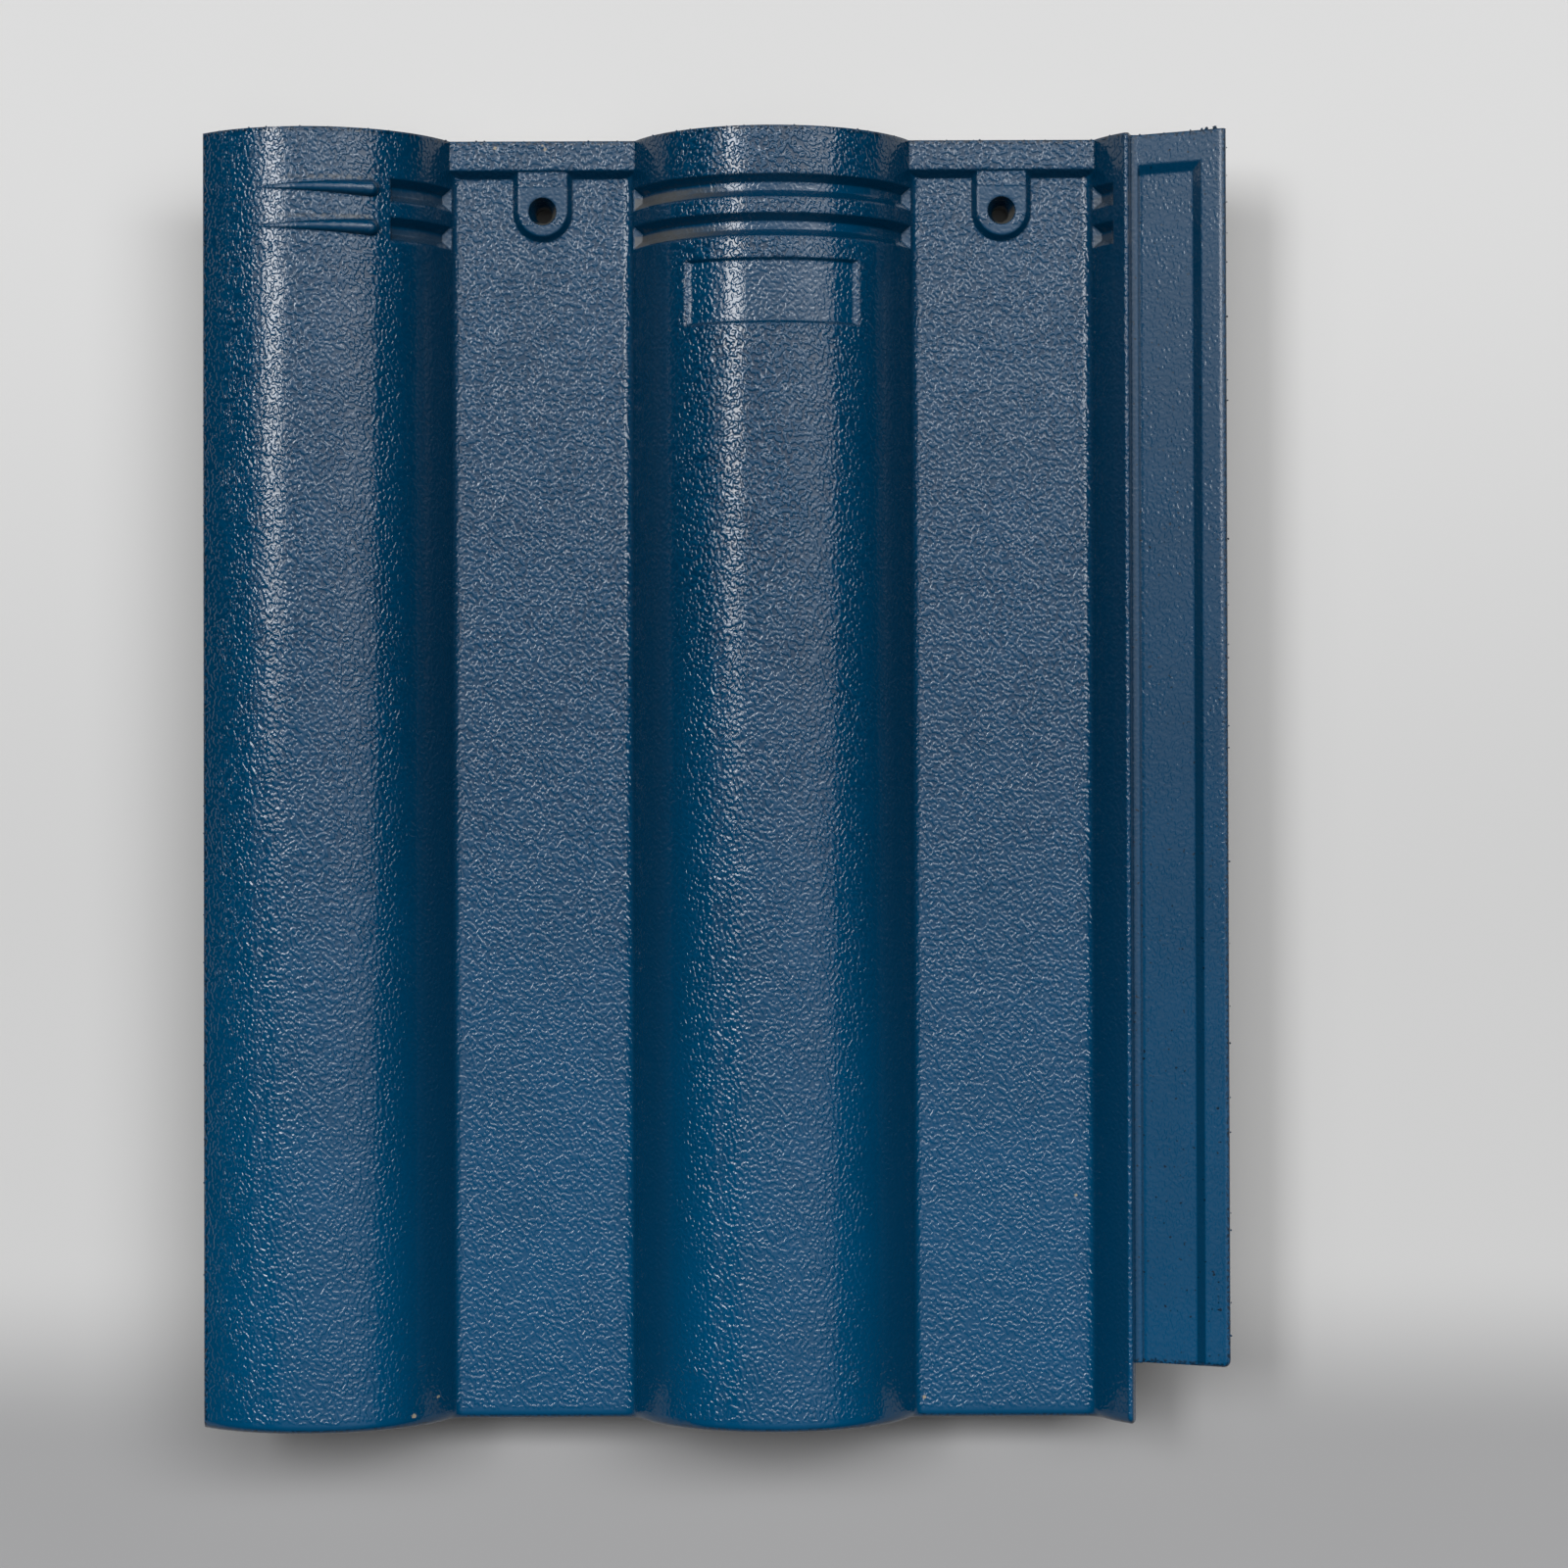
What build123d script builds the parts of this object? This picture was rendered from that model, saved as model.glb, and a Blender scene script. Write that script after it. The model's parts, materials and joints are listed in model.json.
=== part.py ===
from build123d import *
from math import asin, atan, atan2, cos, degrees, sin, sqrt
import os

# A colour-coated concrete roof tile, cast in one piece, lying face up.
# While it is built, X runs from the left edge, Y is minus the distance from the head edge,
# and Z is the height above the floor. All sizes are in millimetres.

# Body: a wave of rolls and pans
length = 424.0              # head edge to tail edge
roll_pitch = 152.5          # crest to crest; two of them are the cover width
first_crest = 34.0          # left edge to the first crest
roll_radius = 50.5
roll_height = 32.0          # crest above the pan face
base_fillet = 4.5           # hollow round where a roll meets a pan
thickness = 12.0            # measured straight down, so that tiles nest
tail_round = 3.0            # rounded upper edge at the tail
ridge_round = 1.0           # rounded top of the part roll beside the flange
ridge_wall = 1.6            # run of its sloped wall down to the flange
tail_corner = 1.5           # in plan, at the foot of that wall

# Side flange that the next tile's first roll covers
flange_width = 30.0
flange_thickness = 7.5      # at the outer rim
flange_short = 19.7         # the flange stops this far before the tail
flange_root = 11.6          # level of the ledge at the root, above the pan face
flange_rim = 24.3           # level of the outer rim, above the pan face
flange_ledge = 2.3          # flat ledge along the root
flange_sink = 3.0           # how far the flange runs into the part roll
flange_corner = 2.2         # in plan, at the tail
rim_round = 1.4
rim_land = 8.0              # plain strip along the outer rim
channel_depth = 1.5
channel_wall = 3.3          # run of its sloped walls at the rim and at the head
channel_from_head = 9.8

# Rebate under the first roll that takes the flange of the tile on the left
lap_clearance = 0.6
lap_side_gap = 1.2

# Header bar across each pan, and the nail boss below it
bar_length = 9.6
bar_height = 3.3
bar_slope = 2.6             # run of its sloped lower wall
bar_sink = 3.0              # how far its ends run into the rolls
boss_height = 2.6
boss_top_width = 16.1
boss_base_width = 20.0
edge_round = 0.7

# Nail hole with a funnel mouth
hole_from_head = 23.2
hole_radius = 2.75
mouth_radius = 4.65
mouth_depth = 8.0

# Cross grooves near the head
groove_first = 19.5         # head edge to the middle of the first groove
groove_spacing = 12.7
groove_width = 7.8          # at the roll's surface
groove_floor = 2.6
groove_depth = 2.7
groove_foot = 2.4           # level of the grooves' ends above the pan face
slot_top = 28.0             # the first roll's slots reach up to this far from its crest
stub_top = 40.0             # and the part roll's up to this far from its hidden crest

# Tapered ribs on the first roll, in line with the grooves
rib_tip = -16.3             # from the crest, along X
rib_end = 21.7
rib_tip_radius = 0.5
rib_end_radius = 2.8
rib_sink = 0.5              # depth of the rib's middle line below the roll's surface
rib_stations = 7

# Shallow bare panel on the middle roll
panel_from_head = 53.6      # to its middle
panel_length = 21.5
panel_width = 57.0
panel_depth = 1.0
panel_wall = 1.0            # run of its sloped walls across the roll

# Hanging nibs near the head and stop bars near the tail, under both pans
foot_depth = 10.0
foot_side_gap = 4.0         # clear of the pan's ends
foot_length = 12.0
foot_draft = 2.0            # run of the sloped wall
foot_sink = 2.0             # how far they run into the pan
nib_from_head = 2.0
stop_from_tail = 86.0

# Worked out from the sizes above
cover_width = 2 * roll_pitch
width = cover_width + flange_width
pan_z = foot_depth + thickness
crest_z = pan_z + roll_height
axis_z = crest_z - roll_radius
crests = [first_crest + step * roll_pitch for step in range(3)]
pan_middles = [crest + roll_pitch / 2 for crest in crests[:2]]
groove_places = [groove_first, groove_first + groove_spacing]
fillet_rise = roll_radius + base_fillet - roll_height
roll_half = sqrt((roll_radius + base_fillet) ** 2 - fillet_rise ** 2)
pan_half = roll_pitch / 2 - roll_half
flange_incline = (flange_rim - flange_root) / (flange_width - flange_ledge)
reach = 3.0                 # how far a cutter stands out of the surface it cuts


def roll_level(offset):
    """Height of a roll's surface at a distance from its crest along X."""
    return axis_z + sqrt(roll_radius ** 2 - offset ** 2)


def roll_half_at(level):
    """Half the width of a roll's arc at a level above the pan face."""
    return sqrt(roll_radius ** 2 - (pan_z + level - axis_z) ** 2)


def ridge_top():
    """Top of the part roll's wall beside the flange, as a place in the section."""
    x = cover_width - ridge_wall
    return x, roll_level(crests[2] - x)


def flange_level(x):
    """Height of the flange's inclined face."""
    return pan_z + flange_rim - flange_incline * (width - x)


def roll_foot(crest, side):
    """The hollow round at the foot of a roll, with its ends on the pan and on the roll."""
    share = roll_radius / (roll_radius + base_fillet)
    on_pan = (crest + side * roll_half, pan_z)
    on_roll = (crest + side * roll_half * share, axis_z + fillet_rise * share)
    return on_pan, on_roll, TangentArc(on_pan, on_roll, tangent=(-side, 0))


def wave_line(end):
    """The upper line of the section, from the left edge to a place on the part roll."""
    left, middle, right = crests
    pan_1, roll_1, foot_1 = roll_foot(left, 1)
    pan_2, roll_2, foot_2 = roll_foot(middle, -1)
    pan_3, roll_3, foot_3 = roll_foot(middle, 1)
    pan_4, roll_4, foot_4 = roll_foot(right, -1)
    half_way = (roll_4[0] + end) / 2
    return [
        ThreePointArc((0, roll_level(left)), (left, crest_z), roll_1),
        foot_1,
        Line(pan_1, pan_2),
        foot_2,
        ThreePointArc(roll_2, (middle, crest_z), roll_3),
        foot_3,
        Line(pan_3, pan_4),
        foot_4,
        ThreePointArc(roll_4, (half_way, roll_level(right - half_way)), (end, roll_level(right - end))),
    ]


def wave_section():
    """Section of the body without the flange: the upper line and the same line lowered."""
    ridge = ridge_top()
    lower = [Pos(0, -thickness) * edge for edge in wave_line(cover_width)]
    left_side = Line((0, roll_level(crests[0])), (0, roll_level(crests[0]) - thickness))
    right_side = Polyline(
        ridge,
        (cover_width, pan_z + flange_root),
        (cover_width, roll_level(crests[2] - cover_width) - thickness),
    )
    return make_face(wave_line(ridge[0]) + lower + [left_side, right_side])


def wave_body():
    """The wave, with its upper tail edge, its tail corner and the ridge of the part roll rounded."""
    body = extrude(Plane.XZ * wave_section(), amount=length)
    tail = body.faces().sort_by(Axis.Y)[0]
    upper = [face for face in body.faces() if face.normal_at().Z > 0.5]
    upper_edges = [edge for face in upper for edge in face.edges()]
    tail_edges = [edge for edge in tail.edges() if edge in upper_edges]
    body = fillet(tail_edges, tail_round)
    x, z = ridge_top()
    ridge = body.edges().filter_by(Axis.Y).sort_by_distance((x, -length / 2, z))[0]
    return fillet(ridge, ridge_round) - corner_cutter()


def corner_cutter():
    """Cutter that rounds the tail corner beside the flange in plan."""
    corner = Align.MIN, Align.MAX, Align.MIN
    upright = Align.CENTER, Align.CENTER, Align.MIN
    block = Box(tail_corner + reach, tail_corner + reach, crest_z, align=corner)
    rest = Cylinder(tail_corner, crest_z, align=upright)
    return Pos(cover_width - tail_corner, tail_corner - length, 0) * (block - rest)


def flange():
    """Inclined side flange with a ledge at its root and a shallow channel open at the tail."""
    inner = cover_width - flange_sink
    ledge_end = cover_width + flange_ledge
    ledge_z = pan_z + flange_root
    outline = Polyline(
        (inner, ledge_z),
        (ledge_end, ledge_z),
        (width, flange_level(width)),
        (width, flange_level(width) - flange_thickness),
        (inner, roll_level(crests[2] - inner) - thickness),
        close=True,
    )
    body = extrude(Plane.XZ * make_face(outline), amount=length - flange_short)
    outer = body.faces().sort_by(Axis.X)[-1]
    body = fillet(outer.edges().filter_by(Axis.Z).sort_by(Axis.Y)[0], flange_corner)
    face = body.faces().sort_by(Axis.Z)[-1]
    crown = face.edges().sort_by(Axis.Y)[:-1].sort_by(Axis.X)[1:]
    return fillet(crown, rim_round) - channel(ledge_end, width - rim_land)


def channel(start, end):
    """Cutter for the flange's channel, sunk square into the inclined face and upright at the ledge."""
    slope = atan(flange_incline)
    inner = start - channel_wall - channel_depth
    middle = (inner + end) / 2
    spot = (middle, -channel_from_head - length / 2, flange_level(middle))
    face = Plane(origin=spot, x_dir=(cos(slope), 0, sin(slope)), z_dir=(sin(slope), 0, -cos(slope)))
    mouth = face * Rectangle((end - inner) / cos(slope), length)
    draft = degrees(atan2(channel_wall, channel_depth))
    trough = extrude(mouth, amount=channel_depth, taper=draft) + extrude(mouth, amount=-reach)
    return trough & space_above(0, start, width)


def lap_rebate():
    """Cutter under the first roll, parallel to the flange that it takes."""
    start = -reach
    end = flange_width + lap_side_gap
    outline = Polyline(
        (start, flange_level(cover_width + start) + lap_clearance),
        (end, flange_level(cover_width + end) + lap_clearance),
        (end, 0),
        (start, 0),
        close=True,
    )
    cutter = extrude(Plane.XZ * make_face(outline), amount=length + 2 * reach)
    return Pos(0, reach, 0) * cutter


def header_bar(middle):
    """Raised bar along the head edge, from roll to roll across one pan."""
    half = roll_pitch / 2 - roll_half_at(bar_height) + bar_sink
    outline = Polyline(
        (0, pan_z - bar_height),
        (0, pan_z + bar_height),
        (-bar_length, pan_z + bar_height),
        (-bar_length - bar_slope, pan_z),
        (-bar_length - bar_slope, pan_z - bar_height),
        close=True,
    )
    section = make_face(outline)
    crown = section.vertices().group_by(Axis.Y)[-1].sort_by(Axis.X)[0]
    section = fillet(crown, edge_round)
    return extrude(Plane.YZ.offset(middle) * section, amount=half, both=True)


def nail_boss(middle):
    """Drafted pad round the nail hole, running up into the header bar."""
    outline = Polyline(
        (0, pan_z - boss_height),
        (boss_base_width / 2, pan_z - boss_height),
        (boss_base_width / 2, pan_z),
        (boss_top_width / 2, pan_z + boss_height),
        (0, pan_z + boss_height),
        close=True,
    )
    half = make_face(outline)
    crown = half.vertices().group_by(Axis.Y)[-1].sort_by(Axis.X)[-1]
    half = fillet(crown, edge_round)
    hole_y = -hole_from_head
    round_end = revolve(Plane.XZ * half, axis=Axis.Z)
    straight = extrude(Plane.XZ * (half + mirror(half, Plane.YZ)), amount=bar_length - hole_from_head)
    return Pos(middle, hole_y, 0) * (round_end + straight)


def nail_hole(middle):
    """Cutter for one nail hole: a funnel above a straight hole."""
    top = pan_z + boss_height
    growth = (mouth_radius - hole_radius) / mouth_depth
    up = Align.CENTER, Align.CENTER, Align.MIN
    straight = Cylinder(hole_radius, top + reach, align=up)
    funnel = Cone(hole_radius, mouth_radius + growth * reach, mouth_depth + reach, align=up)
    cutter = straight + Pos(0, 0, top - mouth_depth) * funnel
    return Pos(middle, -hole_from_head, 0) * cutter


def ring_cutter(crest, place, open_width, floor_width, depth):
    """Ring round a roll's axis that cuts a band with sloped walls across the roll."""
    spread = (open_width - floor_width) / depth
    outer_width = open_width + spread * reach
    outline = Polyline(
        (-place - floor_width / 2, crest_z - depth),
        (-place + floor_width / 2, crest_z - depth),
        (-place + outer_width / 2, crest_z + reach),
        (-place - outer_width / 2, crest_z + reach),
        close=True,
    )
    axis = Axis((crest, 0, axis_z), (0, 1, 0))
    return revolve(Plane.YZ.offset(crest) * make_face(outline), axis=axis)


def space_above(level, first, last):
    """Everything above a level, between two places along X."""
    corner = Align.MIN, Align.MAX, Align.MIN
    return Pos(first, 0, level) * Box(last - first, length, crest_z + reach - level, align=corner)


def groove(crest, place, first, last):
    """Cutter for a cross groove between two distances from a crest, with level ends at the pan."""
    ring = ring_cutter(crest, place, groove_width, groove_floor, groove_depth)
    return ring & space_above(pan_z + groove_foot, crest + first, crest + last)


def panel():
    """Cutter for the shallow panel on the middle roll, with level ledges at its two ends."""
    crest = crests[1]
    half = panel_width / 2
    ring = ring_cutter(crest, panel_from_head, panel_length, panel_length - 2 * panel_wall, panel_depth)
    return ring & space_above(roll_level(half), crest - roll_half, crest + roll_half)


def rib(place):
    """Tapered rib over the first roll, ending in a round nose."""
    path_radius = roll_radius - rib_sink
    first = asin(rib_tip / path_radius)
    last = asin(rib_end / path_radius)
    rings = []
    for station in range(rib_stations):
        share = station / (rib_stations - 1)
        turn = first + (last - first) * share
        spot = (crests[0] + path_radius * sin(turn), -place, axis_z + path_radius * cos(turn))
        plane = Plane(origin=spot, x_dir=(0, 1, 0), z_dir=(cos(turn), 0, -sin(turn)))
        rings.append(plane * Circle(rib_tip_radius + (rib_end_radius - rib_tip_radius) * share))
    return loft(rings) + Pos(*spot) * Sphere(rib_end_radius)


def foot(middle, bearing, side):
    """Nib or stop bar under a pan, with an upright bearing wall and a sloped back."""
    outline = Polyline(
        (bearing, 0),
        (bearing, foot_depth + foot_sink),
        (bearing + side * (foot_length + foot_draft), foot_depth + foot_sink),
        (bearing + side * (foot_length + foot_draft), foot_depth),
        (bearing + side * foot_length, 0),
        close=True,
    )
    half = pan_half - foot_side_gap
    return extrude(Plane.YZ.offset(middle) * make_face(outline), amount=half, both=True)


def roof_tile():
    """The whole tile, with its origin moved to the middle of its floor plan."""
    tile = wave_body() + flange() - lap_rebate()
    nib_face = -nib_from_head - foot_draft - foot_length
    stop_face = stop_from_tail + foot_length - length
    for middle in pan_middles:
        tile += header_bar(middle)
        tile += nail_boss(middle)
        tile += foot(middle, nib_face, 1)
        tile += foot(middle, stop_face, -1)
    for middle in pan_middles:
        tile -= nail_hole(middle)
    for place in groove_places:
        tile += rib(place)
        tile -= groove(crests[0], place, slot_top, roll_half)
        tile -= groove(crests[1], place, -roll_half, roll_half)
        tile -= groove(crests[2], place, -roll_half, -stub_top)
    tile -= panel()
    return Pos(-width / 2, length / 2, 0) * tile


os.makedirs("parts", exist_ok=True)
export_step(roof_tile(), "parts/roof_tile.step")
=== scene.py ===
import json
from math import sqrt
from random import Random
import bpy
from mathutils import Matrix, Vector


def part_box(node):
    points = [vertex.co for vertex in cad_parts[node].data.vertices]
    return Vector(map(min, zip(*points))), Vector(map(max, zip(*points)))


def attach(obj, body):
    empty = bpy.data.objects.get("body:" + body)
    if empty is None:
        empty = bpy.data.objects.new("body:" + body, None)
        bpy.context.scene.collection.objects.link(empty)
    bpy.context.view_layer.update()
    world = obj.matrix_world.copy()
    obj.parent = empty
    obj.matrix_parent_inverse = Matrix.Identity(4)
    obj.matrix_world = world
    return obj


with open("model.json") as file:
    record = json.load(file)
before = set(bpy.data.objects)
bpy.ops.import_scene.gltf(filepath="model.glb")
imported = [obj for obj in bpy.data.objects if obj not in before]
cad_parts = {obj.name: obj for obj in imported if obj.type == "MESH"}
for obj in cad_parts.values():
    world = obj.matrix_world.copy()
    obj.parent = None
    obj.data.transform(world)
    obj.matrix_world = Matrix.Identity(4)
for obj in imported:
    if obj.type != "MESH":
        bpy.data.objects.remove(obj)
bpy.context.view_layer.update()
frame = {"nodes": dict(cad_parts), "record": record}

from types import SimpleNamespace

import bmesh
import bpy
from mathutils import Matrix, Vector

# A colour-coated concrete roof tile, lying face up on a pale floor under soft overhead light.
# Objects are in metres. Sizes and places are named in millimetres, and materials work in millimetres too.
low_corner, high_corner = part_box("roof_tile")
tile = frame["nodes"]["roof_tile"]
nail_holes = next(mount for mount in frame["record"]["mounts"] if mount["name"] == "nail_holes")
mm = 0.001
left_x, tail_y = low_corner.x / mm, low_corner.y / mm
right_x, head_y = high_corner.x / mm, high_corner.y / mm

# The wave of rolls and pans, and the flange beside it. The nail holes are in the middles of the pans.
roll_pitch = nail_holes["dims"]["spacing_x_mm"]
middle_crest = nail_holes["pos_m"][0] / mm
first_crest = middle_crest - roll_pitch
first_pan = middle_crest - roll_pitch / 2
second_pan = middle_crest + roll_pitch / 2
roll_radius = 50.5
roll_axis = 3.5             # height of the rolls' middle line
pan_level = 22.0
bar_height = 3.3            # of the bar across the head of a pan
flange_start = 137.5
flange_tail = -192.3
rim_level = 46.3
flange_incline = 0.4585

# Places near the head
hole_y = nail_holes["pos_m"][1] / mm
mouth_radius = 4.65         # of the nail holes' funnels
groove_places = (192.5, 179.8)
groove_half = 4.4
wall_drop = 1.9             # from the middle of a groove to the middle of its lower wall
wall_half = 2.4
rib_first = first_crest - 16.3
rib_last = first_crest + 22.0
crease_rise = 3.3           # from the middle of a rib to the crease above it
crease_half = 0.7
panel_y = 158.4
panel_half_length = 10.6
panel_half_width = 28.3

# Grain of the coat
grain_waves = 0.85          # per millimetre
grain_stretch = (1.1, 0.92, 1.0)
grain_turn = (0.5, 0.35, 0.6)
grain_height = 0.12
grain_least = 0.75          # its strength in the calmest patches
grain_patches = 0.45        # added in the roughest patches
grain_middle_roll = 0.5     # added on the head half of the middle roll
rough_middle = middle_crest - 14.0
rough_half = 24.0
edge_round = 1.3
smooth_tail = 3.6           # the rounded tail edge has hardly any grain

# Shares of the grain that are lost
calm_worked = 0.75          # in grooves and on ribs
calm_panel = 0.55
calm_flank = 0.55
calm_flange = 0.87
calm_tail = 0.92

# Shares of bare concrete or dust in the coat
bare_middle = 0.55          # in the middle roll's grooves, on the left
bare_slots = 0.12
bare_stubs = 0.25
bare_holes = 0.7
rib_dust = 0.4
edge_grit = 0.85

# The coat's ragged lower edge on the outer sides
coat_ends = 6.5
concrete_starts = 9.0
coat_ragged = 5.0
tail_reach = 4.0            # the coat goes this much further down on the tail end

# Tone and gloss of the coat, with its painted light and shade
tail_painted_light = 0.45           # painted light added at the tail, a paler blue where more light falls
flange_painted_shade = 0.08        # share of the flanks' painted shade on the flange
hollow_shade_tail = 0.1           # share of the painted shade in the grain's hollows at the tail
hollow_shade_head = 0.35          # painted shade added in the hollows at the head
coat_roughness = 0.06
patchy_roughness = 0.06
bare_roughness = 0.6        # added on concrete
coat_ior = 1.5

# Pale chips in the coat, as places and radii
chips = (
    (-99.0, -208.0, 0.7),
    (-91.9, -203.0, 0.5),
    (68.5, -205.0, 0.6),
    (119.0, -138.2, 0.5),
    (-72.9, 209.8, 0.55),
    (-56.3, 209.4, 0.5),
    (-57.2, 210.6, 0.35),
)
chip_ragged = 1.2

# Crumbs of concrete on the edges
crumb_seed = 7
corner_crumbs = ((163.9, 0.75), (161.4, 0.55), (159.9, 0.4), (156.3, 0.3))
head_crumbs = 34
side_crumbs = 40
crumb_least = 0.16
head_crumb_most = 0.36
side_crumb_most = 0.34
head_margin = 3.0           # free of crumbs at both ends of the head edge
side_tail_margin = 26.0
side_head_margin = 4.0
crumb_sink = 0.4            # of its radius, into the face
side_crumb_sink = 0.6
crumb_lead = 0.5            # of its radius, out of the head end
crumb_shape = (0.7, 1.25)   # how far its corners lie from its middle, in radii
crumb_relief = 0.2

# Floor, with the places where painted shade darkens its paint
floor_half = 12.0           # in metres
pale_until = 240.0
middle_from = -60.0
middle_until = -160.0
grey_from = -225.0
floor_roughness = 0.9
floor_gloss = 0.1

# Overhead light. Directions are slopes away from straight up, across the tile or towards its head.
zenith_glow = 0.78
least_glow = 0.05
most_glow = 9.0
head_growth = 60.0          # times brighter, one slope further to the head
side_growth = 2.2           # times brighter, one slope further to the right
glow_end = 0.62
end_soft = 0.3
main_middle = 0.05
main_half = 0.58
main_soft = 0.25
left_middle = -0.585
left_half = 0.155
left_soft = 0.08
left_glow = 13.5
left_start = 0.08
start_soft = 0.16
right_middle = 0.86
right_half = 0.26
right_glow = 1.35
fill_middle = -0.94
fill_half = 0.11
fill_glow = 0.8
strip_soft = 0.15
least_rise = 0.02
horizon_dark = -0.02
horizon_lit = 0.04

# Camera
image_width = 1600
sensor_width = 36.0
focal_pixels = 3804.5
camera_place = (0.0229, -0.0148, 1.2610)
camera_turn = (0.01066, 0.00038, -0.00282)

# Colours, as linear light
coat_blue = (0.0, 0.044, 0.108, 1.0)
coat_deep = (0.0, 0.040, 0.098, 1.0)
# Painted shade: a darker blue for steep flanks and, in part, the flange
coat_flank_painted_shade = (0.0, 0.027, 0.067, 1.0)
# Painted shade: a darker blue for the grain's hollows
coat_hollow_painted_shade = (0.0, 0.018, 0.050, 1.0)
raw_beige = (0.115, 0.098, 0.064, 1.0)
raw_grey = (0.125, 0.117, 0.096, 1.0)
chip_pale = (0.30, 0.26, 0.20, 1.0)
pit_dark = (0.0, 0.012, 0.03, 1.0)
pale_grey = (0.65, 0.65, 0.65, 1.0)
# The next two greys are painted shade on the floor, darker towards and past the tail
middle_shade_grey = (0.56, 0.56, 0.56, 1.0)
floor_shade_grey = (0.33, 0.33, 0.335, 1.0)
light_white = (1.0, 1.0, 1.0, 1.0)


def add(tree, kind, inputs=None, **settings):
    """Adds a node with its settings, and fills its inputs with values or links."""
    node = tree.nodes.new(kind)
    for name, value in settings.items():
        setattr(node, name, value)
    for name, value in (inputs or {}).items():
        fill(tree, node.inputs[name], value)
    return node


def fill(tree, socket, value):
    """Gives a socket a value or a link."""
    if isinstance(value, bpy.types.NodeSocket):
        tree.links.new(value, socket)
    else:
        socket.default_value = value


def calc(tree, operation, *values):
    """One step of arithmetic on numbers or links."""
    return add(tree, "ShaderNodeMath", dict(enumerate(values)), operation=operation).outputs[0]


def fade(tree, value, start, end):
    """0 at start and 1 at end, with a soft run between them."""
    inputs = {"Value": value, "From Min": start, "From Max": end}
    return add(tree, "ShaderNodeMapRange", inputs, interpolation_type="SMOOTHSTEP").outputs["Result"]


def noise(tree, place, waves, detail):
    """Cloudy noise round 0.5, with its waves per millimetre."""
    inputs = {"Vector": place, "Scale": waves, "Detail": detail}
    return add(tree, "ShaderNodeTexNoise", inputs).outputs["Fac"]


def blend(tree, share, first, second):
    """A colour that goes from the first to the second with a share."""
    node = add(tree, "ShaderNodeMix", data_type="RGBA")
    fill(tree, node.inputs["Factor"], share)
    fill(tree, node.inputs[6], first)
    fill(tree, node.inputs[7], second)
    return node.outputs[2]


def both(tree, *shares):
    """The product of shares."""
    result = shares[0]
    for share in shares[1:]:
        result = calc(tree, "MULTIPLY", result, share)
    return result


def either(tree, *shares):
    """The largest of shares."""
    result = shares[0]
    for share in shares[1:]:
        result = calc(tree, "MAXIMUM", result, share)
    return result


def other(tree, share):
    """What is left of a share."""
    return calc(tree, "SUBTRACT", 1.0, share)


def near(tree, value, middle, half, soft):
    """1 within half of a middle, fading out over a soft run."""
    off = calc(tree, "ABSOLUTE", calc(tree, "SUBTRACT", value, middle))
    return fade(tree, off, half + soft / 2, half - soft / 2)


def distance(tree, off_x, off_y):
    """How far a point lies from a place, from its two offsets."""
    squares = calc(tree, "ADD", calc(tree, "POWER", off_x, 2.0), calc(tree, "POWER", off_y, 2.0))
    return calc(tree, "SQRT", squares)


def new_material(name):
    """An empty node material with its principled shader."""
    material = bpy.data.materials.new(name)
    material.use_nodes = True
    tree = material.node_tree
    tree.nodes.clear()
    shader = add(tree, "ShaderNodeBsdfPrincipled")
    add(tree, "ShaderNodeOutputMaterial", {"Surface": shader.outputs["BSDF"]})
    return material, tree, shader


def tile_places(tree):
    """Where a point is on the tile, in millimetres, with its depth below the plain wave or flange face."""
    coords = add(tree, "ShaderNodeTexCoord")
    scaled = {0: coords.outputs["Object"], "Scale": 1 / mm}
    place = add(tree, "ShaderNodeVectorMath", scaled, operation="SCALE").outputs[0]
    x, y, z = add(tree, "ShaderNodeSeparateXYZ", {0: place}).outputs
    up = add(tree, "ShaderNodeSeparateXYZ", {0: coords.outputs["Normal"]}).outputs["Z"]
    from_crest = calc(tree, "PINGPONG", calc(tree, "SUBTRACT", x, middle_crest), roll_pitch / 2)
    drop = calc(tree, "SUBTRACT", roll_radius ** 2, calc(tree, "POWER", from_crest, 2.0))
    arc = calc(tree, "ADD", calc(tree, "SQRT", calc(tree, "MAXIMUM", drop, 0.0)), roll_axis)
    wave = calc(tree, "MAXIMUM", arc, pan_level)
    lean = calc(tree, "MULTIPLY_ADD", x, flange_incline, rim_level - flange_incline * right_x)
    on_flange = fade(tree, x, flange_start - 0.2, flange_start + 0.2)
    level = calc(tree, "ADD", both(tree, wave, other(tree, on_flange)), both(tree, lean, on_flange))
    depth = calc(tree, "SUBTRACT", level, z)
    return SimpleNamespace(place=place, x=x, y=y, up=up, depth=depth, on_flange=on_flange)


def groove_lines(tree, spot, shift, half, soft):
    """The share in bands along the two lines of grooves and ribs, shifted towards the head."""
    return either(tree, *[near(tree, spot.y, place + shift, half, soft) for place in groove_places])


def outer_faces(tree, spot, reach):
    """The outer sides of the tile, as far in as a reach."""
    flange_end = fade(tree, spot.y, flange_tail + reach, flange_tail + reach / 2)
    return either(
        tree,
        fade(tree, spot.x, left_x + reach, left_x + reach / 2),
        fade(tree, spot.x, right_x - reach, right_x - reach / 2),
        fade(tree, spot.y, head_y - reach, head_y - reach / 2),
        fade(tree, spot.y, tail_y + reach, tail_y + reach / 2),
        both(tree, spot.on_flange, flange_end),
    )


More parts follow.
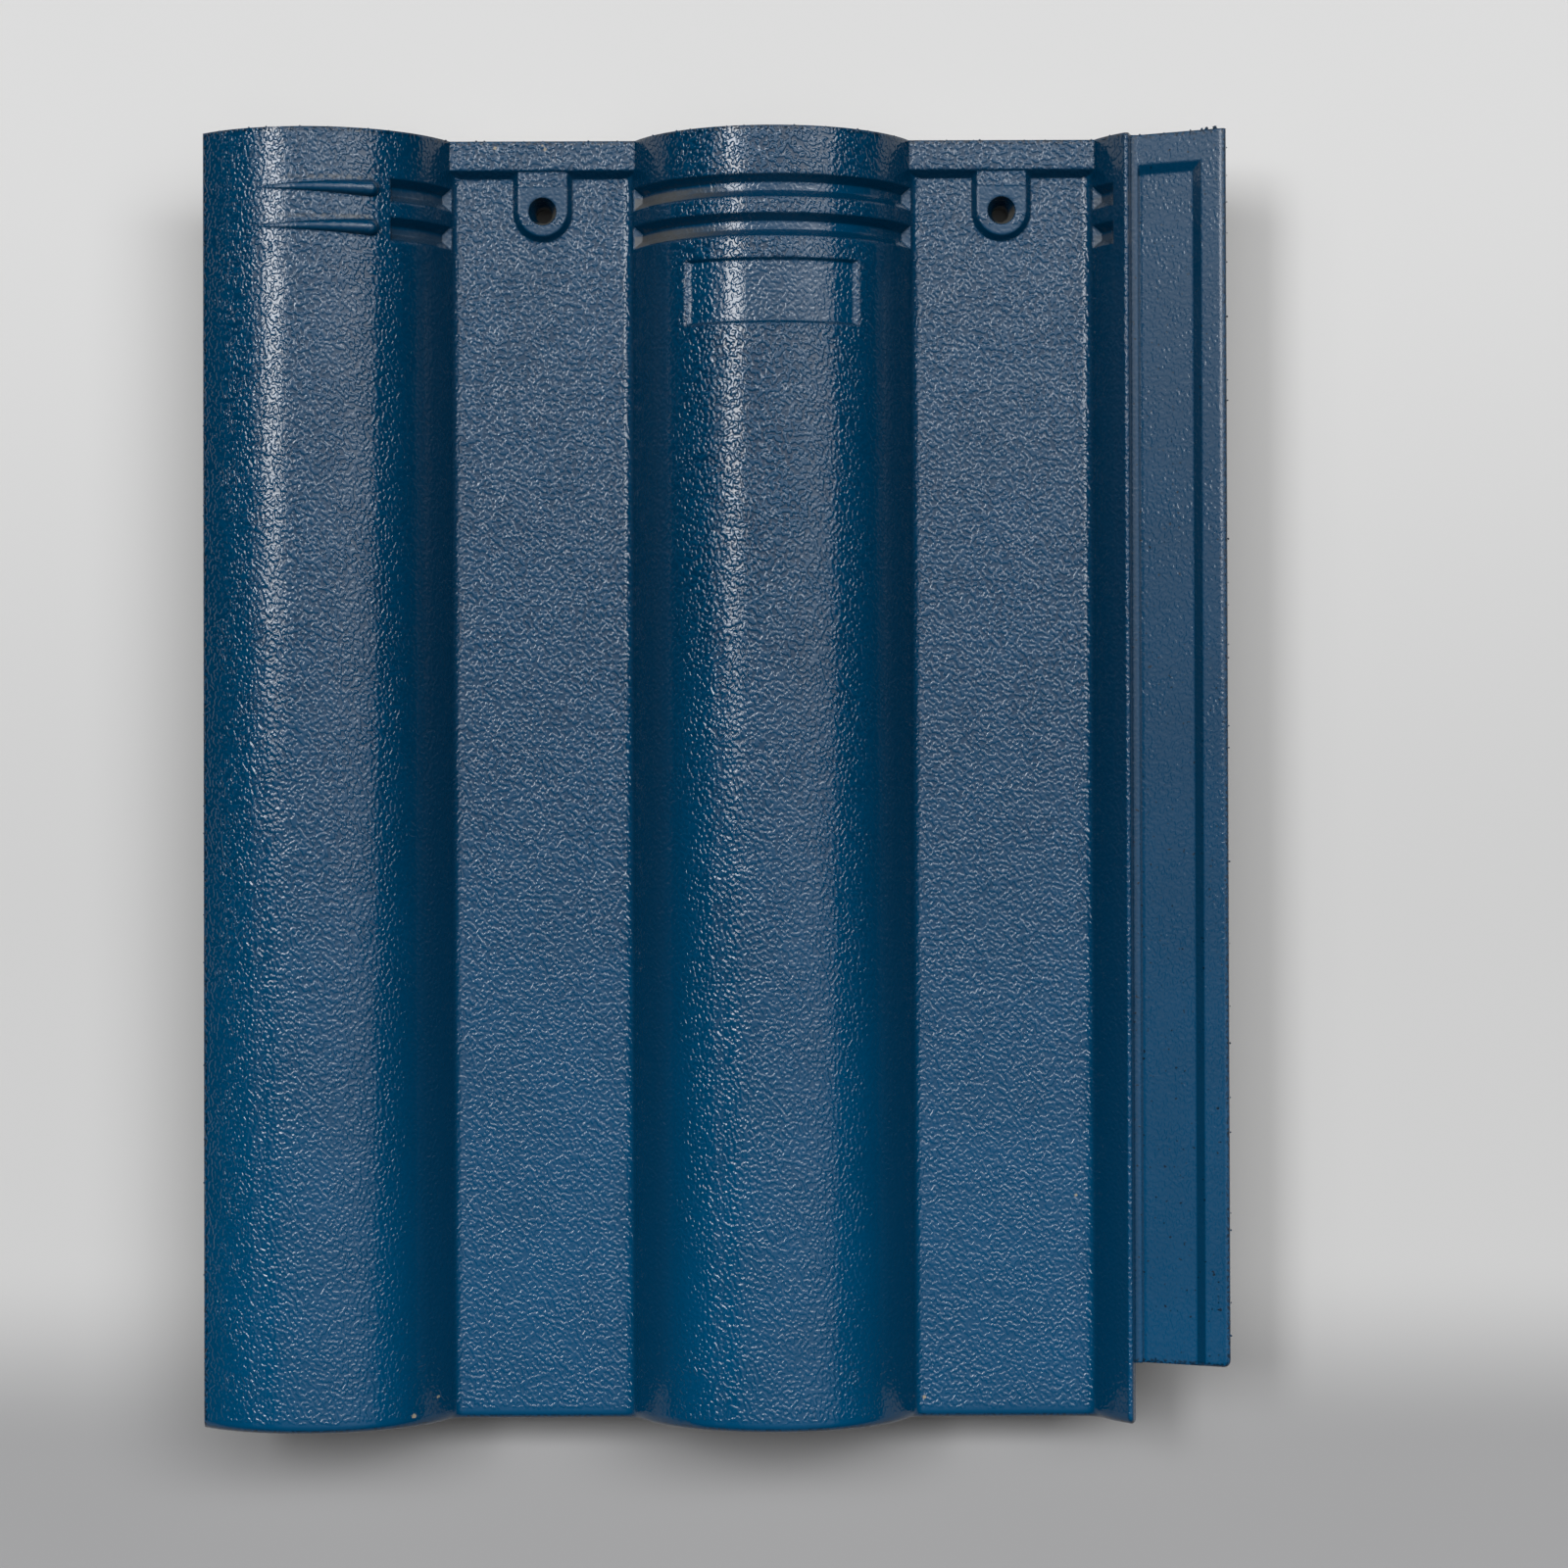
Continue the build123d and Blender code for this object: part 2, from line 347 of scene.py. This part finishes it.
def groove_gaps(tree, spot, patchy):
    """Thin coat on the lower walls of the grooves, most on the left of the middle roll."""
    in_line = groove_lines(tree, spot, 0.0, groove_half, 0.6)
    low_wall = groove_lines(tree, spot, -wall_drop, wall_half, 1.2)
    sunk = both(tree, in_line, low_wall, fade(tree, spot.depth, 0.4, 1.3), other(tree, spot.on_flange))
    ragged = calc(tree, "MULTIPLY_ADD", patchy, 16.0, spot.x)
    on_left = fade(tree, ragged, middle_crest + 3.0, middle_crest - 27.0)
    middle = both(tree, on_left, fade(tree, spot.x, first_pan, first_pan + 10.0), bare_middle)
    slots = both(tree, fade(tree, spot.x, first_pan, first_pan - 10.0), bare_slots)
    stubs = both(tree, fade(tree, spot.x, second_pan, second_pan + 10.0), bare_stubs)
    return both(tree, sunk, either(tree, middle, slots, stubs))


def dusty_creases(tree, spot, patchy):
    """Dust in the creases above the ribs of the first roll."""
    crease = groove_lines(tree, spot, crease_rise, crease_half, 1.0)
    begun = fade(tree, spot.x, rib_first, rib_last - 12.0)
    ended = fade(tree, spot.x, rib_last + 1.0, rib_last)
    return both(tree, crease, begun, ended, fade(tree, patchy, 0.35, 0.6), rib_dust)


def hole_gaps(tree, spot):
    """The share inside the nail holes, and the bare concrete on the lower right of their funnels."""
    right = calc(tree, "WRAP", calc(tree, "SUBTRACT", spot.x, second_pan), roll_pitch / 2, -roll_pitch / 2)
    ahead = calc(tree, "SUBTRACT", spot.y, hole_y)
    in_hole = fade(tree, distance(tree, right, ahead), mouth_radius, mouth_radius - 0.4)
    low_right = fade(tree, calc(tree, "SUBTRACT", calc(tree, "MULTIPLY", right, 0.8), ahead), 0.5, 3.0)
    return in_hole, both(tree, in_hole, low_right, bare_holes)


def side_gaps(tree, spot, patchy, in_hole):
    """The outer sides below the ragged edge of the coat."""
    steep = both(tree, fade(tree, spot.up, 0.35, 0.15), other(tree, in_hole))
    covered = calc(tree, "MULTIPLY", fade(tree, spot.y, tail_y + 4.0, tail_y + 1.0), tail_reach)
    ragged = calc(tree, "MULTIPLY_ADD", patchy, coat_ragged, calc(tree, "SUBTRACT", spot.depth, covered))
    return both(tree, steep, fade(tree, ragged, coat_ends, concrete_starts), outer_faces(tree, spot, 1.0))


def spray_gaps(tree, spot, patchy):
    """Where the coat is thin or missing and the concrete shows."""
    in_hole, holes = hole_gaps(tree, spot)
    below = fade(tree, spot.up, 0.02, -0.12)
    grooves = groove_gaps(tree, spot, patchy)
    dust = dusty_creases(tree, spot, patchy)
    return either(tree, below, grooves, dust, holes, side_gaps(tree, spot, patchy, in_hole))


def chip_share(tree, spot):
    """The few pale chips in the coat."""
    ragged = calc(tree, "MULTIPLY", noise(tree, spot.place, waves=1.6, detail=2.0), chip_ragged)
    shares = []
    for x, y, radius in chips:
        away = distance(tree, calc(tree, "SUBTRACT", spot.x, x), calc(tree, "SUBTRACT", spot.y, y))
        shares.append(fade(tree, calc(tree, "ADD", away, ragged), radius + 0.75, radius + 0.35))
    return either(tree, *shares)


def dark_specks(tree, spot):
    """Small dark pits on the flange, and dark grit along the outer edges."""
    pits = fade(tree, noise(tree, spot.place, waves=0.7, detail=1.0), 0.70, 0.76)
    grit = fade(tree, noise(tree, spot.place, waves=0.9, detail=2.0), 0.46, 0.60)
    on_edges = both(tree, grit, outer_faces(tree, spot, 1.8), edge_grit)
    return either(tree, both(tree, pits, spot.on_flange), on_edges)


def grain_share(tree, spot):
    """How much grain is left: all on pans and crests, less on flanks, little on the flange and tail edge."""
    off_face = fade(tree, calc(tree, "ABSOLUTE", spot.depth), 0.25, 0.7)
    worked = both(tree, groove_lines(tree, spot, 0.0, groove_half, 0.6), off_face)
    across = near(tree, spot.x, middle_crest, panel_half_width, 0.6)
    along = near(tree, spot.y, panel_y, panel_half_length, 0.6)
    panel = both(tree, across, along, fade(tree, spot.depth, 0.3, 0.8))
    wavy = calc(tree, "MULTIPLY", noise(tree, spot.place, waves=0.25, detail=1.0), 2.0)
    smooth_y = tail_y + smooth_tail
    tail = fade(tree, calc(tree, "ADD", spot.y, wavy), smooth_y + 1.6, smooth_y + 0.4)
    calm = either(
        tree,
        calc(tree, "MULTIPLY", worked, calm_worked),
        calc(tree, "MULTIPLY", panel, calm_panel),
        calc(tree, "MULTIPLY", fade(tree, spot.up, 0.92, 0.72), calm_flank),
        calc(tree, "MULTIPLY", spot.on_flange, calm_flange),
        calc(tree, "MULTIPLY", tail, calm_tail),
    )
    return other(tree, calm)


def grain_strength(tree, spot):
    """The strength of the grain, in patches, and rougher on the head half of the middle roll."""
    patch = fade(tree, noise(tree, spot.place, waves=0.10, detail=2.0), 0.34, 0.66)
    rougher = both(tree, near(tree, spot.x, rough_middle, rough_half, 20.0), fade(tree, spot.y, 20.0, 90.0))
    least = calc(tree, "MULTIPLY_ADD", rougher, grain_middle_roll, grain_least)
    strength = calc(tree, "MULTIPLY_ADD", patch, grain_patches, least)
    return both(tree, strength, grain_share(tree, spot))


def grain_relief(tree, spot):
    """The height of the grain's lumps, and the share of painted shade in the hollows between them."""
    turned = {"Vector": spot.place, "Scale": grain_stretch, "Rotation": grain_turn}
    place = add(tree, "ShaderNodeMapping", turned).outputs[0]
    cloud = noise(tree, place, grain_waves, detail=0.0)
    lumps = calc(tree, "MULTIPLY_ADD", cloud, 0.5, fade(tree, cloud, 0.38, 0.64))
    strength = grain_strength(tree, spot)
    # Painted shade in the hollows, stronger towards the head
    hollow_shade_depth = calc(tree, "MULTIPLY_ADD", fade(tree, spot.y, -170.0, 60.0), hollow_shade_head, hollow_shade_tail)
    hollow_shade = both(tree, fade(tree, lumps, 0.75, 0.15), strength, hollow_shade_depth)
    return both(tree, lumps, strength), hollow_shade


def coat_colour(tree, spot, hollow_shade):
    """Blue of the coat, with painted shade, darker in the grain's hollows, on the flanks and a little on the
    flange, and painted light, paler to the tail; with dark specks.
    """
    cloud = fade(tree, noise(tree, spot.place, waves=0.03, detail=3.0), 0.3, 0.7)
    level = blend(tree, cloud, coat_blue, coat_deep)
    # Painted shade: darker blue on steep flanks and a little on the flange
    on_flange = calc(tree, "MULTIPLY", spot.on_flange, flange_painted_shade)
    flank_shaded = blend(tree, either(tree, fade(tree, spot.up, 0.97, 0.60), on_flange), level, coat_flank_painted_shade)
    # Painted shade in the grain's hollows
    hollow_shaded = blend(tree, hollow_shade, flank_shaded, coat_hollow_painted_shade)
    # Painted light: the blue is paler towards the tail
    tail_light_scale = calc(tree, "MULTIPLY_ADD", fade(tree, spot.y, 60.0, -200.0), tail_painted_light, 1.0)
    toned = add(tree, "ShaderNodeVectorMath", {0: hollow_shaded, "Scale": tail_light_scale}, operation="SCALE").outputs[0]
    return blend(tree, dark_specks(tree, spot), toned, pit_dark)


def coated_concrete():
    """Semi-gloss blue coat with an orange-peel grain over concrete, which is bare below and in spray gaps."""
    material, tree, shader = new_material("blue_coated_concrete")
    spot = tile_places(tree)
    patchy = noise(tree, spot.place, waves=0.45, detail=4.0)
    bare = spray_gaps(tree, spot, patchy)
    chipped = chip_share(tree, spot)
    relief, hollow_shade = grain_relief(tree, spot)
    bevel = add(tree, "ShaderNodeBevel", {"Radius": edge_round * mm}, samples=4).outputs[0]
    bump_inputs = {"Distance": grain_height * mm, "Height": relief, "Normal": bevel}
    bump = add(tree, "ShaderNodeBump", bump_inputs).outputs[0]
    raw = blend(tree, fade(tree, patchy, 0.35, 0.65), raw_beige, raw_grey)
    colour = blend(tree, chipped, blend(tree, bare, coat_colour(tree, spot, hollow_shade), raw), chip_pale)
    gloss = calc(tree, "MULTIPLY_ADD", patchy, patchy_roughness, coat_roughness)
    rough = calc(tree, "MULTIPLY_ADD", either(tree, bare, chipped), bare_roughness, gloss)
    tree.links.new(colour, shader.inputs["Base Color"])
    tree.links.new(rough, shader.inputs["Roughness"])
    tree.links.new(bump, shader.inputs["Normal"])
    shader.inputs["IOR"].default_value = coat_ior
    return material


def crumb_concrete():
    """Coat-stained grit of the crumbs on the edges."""
    material, tree, shader = new_material("edge_grit")
    spot = tile_places(tree)
    speck = fade(tree, noise(tree, spot.place, waves=1.5, detail=3.0), 0.40, 0.62)
    tree.links.new(blend(tree, speck, pit_dark, coat_deep), shader.inputs["Base Color"])
    bump_inputs = {"Distance": crumb_relief * mm, "Height": noise(tree, spot.place, waves=2.5, detail=2.0)}
    tree.links.new(add(tree, "ShaderNodeBump", bump_inputs).outputs[0], shader.inputs["Normal"])
    tree.links.new(calc(tree, "MULTIPLY_ADD", speck, -0.2, 0.6), shader.inputs["Roughness"])
    return material


def face_level(x, y):
    """Height of the tile's face along its edges."""
    if x > flange_start:
        return rim_level - flange_incline * (right_x - x)
    off = abs((x - middle_crest + roll_pitch / 2) % roll_pitch - roll_pitch / 2)
    if off < roll_radius:
        level = roll_axis + sqrt(roll_radius ** 2 - off ** 2)
    else:
        level = 0.0
    bar = bar_height if y > 0 else 0.0
    return max(level, pan_level + bar)


def add_crumb(shape, chance, place, radius):
    """A lump with a few uneven corners, partly sunk into the edge it sits on."""
    middle = Vector(place) * mm
    spot = Matrix.Translation(middle)
    lump = bmesh.ops.create_icosphere(shape, subdivisions=2, radius=radius * mm, matrix=spot)
    for corner in lump["verts"]:
        corner.co = middle + (corner.co - middle) * chance.uniform(*crumb_shape)


def corner_grit(shape, chance):
    """The few larger crumbs at the head corner of the flange."""
    for x, radius in corner_crumbs:
        level = face_level(x, head_y) - radius * crumb_sink
        add_crumb(shape, chance, (x, head_y + radius * crumb_lead, level), radius)


def head_grit(shape, chance):
    """Small crumbs along the head edge."""
    run = right_x - left_x - 2 * head_margin
    for step in range(head_crumbs):
        x = left_x + head_margin + run * (step + chance.random()) / head_crumbs
        radius = chance.uniform(crumb_least, head_crumb_most)
        add_crumb(shape, chance, (x, head_y, face_level(x, head_y) - radius * crumb_sink), radius)


def side_grit(shape, chance):
    """Small crumbs along the two side edges."""
    run = head_y - tail_y - side_tail_margin - side_head_margin
    for step in range(side_crumbs):
        y = tail_y + side_tail_margin + run * (step + chance.random()) / side_crumbs
        radius = chance.uniform(crumb_least, side_crumb_most)
        x = chance.choice((left_x, right_x))
        add_crumb(shape, chance, (x, y, face_level(x, y) - radius * side_crumb_sink), radius)


def edge_crumbs():
    """Grit left along the cut head edge and the two side edges."""
    chance = Random(crumb_seed)
    shape = bmesh.new()
    corner_grit(shape, chance)
    head_grit(shape, chance)
    side_grit(shape, chance)
    mesh = bpy.data.meshes.new("edge_crumbs")
    shape.to_mesh(mesh)
    shape.free()
    crumbs = bpy.data.objects.new("edge_crumbs", mesh)
    crumbs.data.materials.append(crumb_concrete())
    for face in crumbs.data.polygons:
        face.use_smooth = True
    bpy.context.collection.objects.link(crumbs)
    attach(crumbs, "root")


def floor_paint_and_shade():
    """Matt paint of the studio floor: pale round the tile, with painted shade that makes it greyer towards
    and past its tail.
    """
    material, tree, shader = new_material("studio_floor_painted_shade")
    spot = tile_places(tree)
    # Painted shade: the floor darkens from the head side towards the tail, and more past the tail
    pale = blend(tree, fade(tree, spot.y, pale_until, middle_from), pale_grey, middle_shade_grey)
    paint = blend(tree, fade(tree, spot.y, middle_until, grey_from), pale, floor_shade_grey)
    tree.links.new(paint, shader.inputs["Base Color"])
    shader.inputs["Roughness"].default_value = floor_roughness
    shader.inputs["Specular IOR Level"].default_value = floor_gloss
    return material


def studio_floor():
    """A wide level floor under the tile."""
    mesh = bpy.data.meshes.new("studio_floor")
    shape = bmesh.new()
    bmesh.ops.create_grid(shape, x_segments=4, y_segments=4, size=floor_half)
    shape.to_mesh(mesh)
    shape.free()
    floor = bpy.data.objects.new("studio_floor", mesh)
    floor.data.materials.append(floor_paint_and_shade())
    bpy.context.collection.objects.link(floor)


def soft_glow(tree, aside, ahead):
    """The wide light over the tile with a strip on each side, brighter towards the head."""
    rising = calc(tree, "MULTIPLY", calc(tree, "POWER", head_growth, ahead), zenith_glow)
    rising = calc(tree, "ADD", calc(tree, "MINIMUM", rising, most_glow), least_glow)
    rightward = calc(tree, "POWER", side_growth, aside)
    main = both(tree, near(tree, aside, main_middle, main_half, main_soft), rightward)
    side_fill = both(tree, near(tree, aside, fill_middle, fill_half, strip_soft), fill_glow)
    right = both(tree, near(tree, aside, right_middle, right_half, strip_soft), right_glow)
    return both(tree, rising, calc(tree, "ADD", calc(tree, "ADD", main, side_fill), right))


def left_strip(tree, aside, ahead):
    """The bright narrow strip that makes the left highlights of the rolls."""
    begun = fade(tree, ahead, left_start - start_soft / 2, left_start + start_soft / 2)
    return both(tree, begun, near(tree, aside, left_middle, left_half, left_soft), left_glow)


def overhead_light():
    """The world as soft light from above, which ends towards the head and at the horizon."""
    world = bpy.data.worlds.new("overhead_light")
    world.use_nodes = True
    tree = world.node_tree
    tree.nodes.clear()
    direction = add(tree, "ShaderNodeTexCoord").outputs["Generated"]
    across, along, rise = add(tree, "ShaderNodeSeparateXYZ", {0: direction}).outputs
    height = calc(tree, "MAXIMUM", rise, least_rise)
    aside = calc(tree, "DIVIDE", across, height)
    ahead = calc(tree, "DIVIDE", along, height)
    glow = calc(tree, "ADD", soft_glow(tree, aside, ahead), left_strip(tree, aside, ahead))
    ended = fade(tree, ahead, glow_end + end_soft / 2, glow_end - end_soft / 2)
    strength = both(tree, glow, ended, fade(tree, rise, horizon_dark, horizon_lit))
    background = add(tree, "ShaderNodeBackground", {"Color": light_white, "Strength": strength})
    add(tree, "ShaderNodeOutputWorld", {"Surface": background.outputs[0]})
    bpy.context.scene.world = world


def camera():
    """Looks down on the face of the tile."""
    data = bpy.data.cameras.new("camera")
    data.sensor_width = sensor_width
    data.lens = sensor_width * focal_pixels / image_width
    seat = bpy.data.objects.new("camera", data)
    seat.location = camera_place
    seat.rotation_euler = camera_turn
    bpy.context.collection.objects.link(seat)
    bpy.context.scene.camera = seat


tile.data.materials[0] = coated_concrete()
edge_crumbs()
studio_floor()
overhead_light()
camera()
bpy.context.scene.view_settings.view_transform = "Standard"
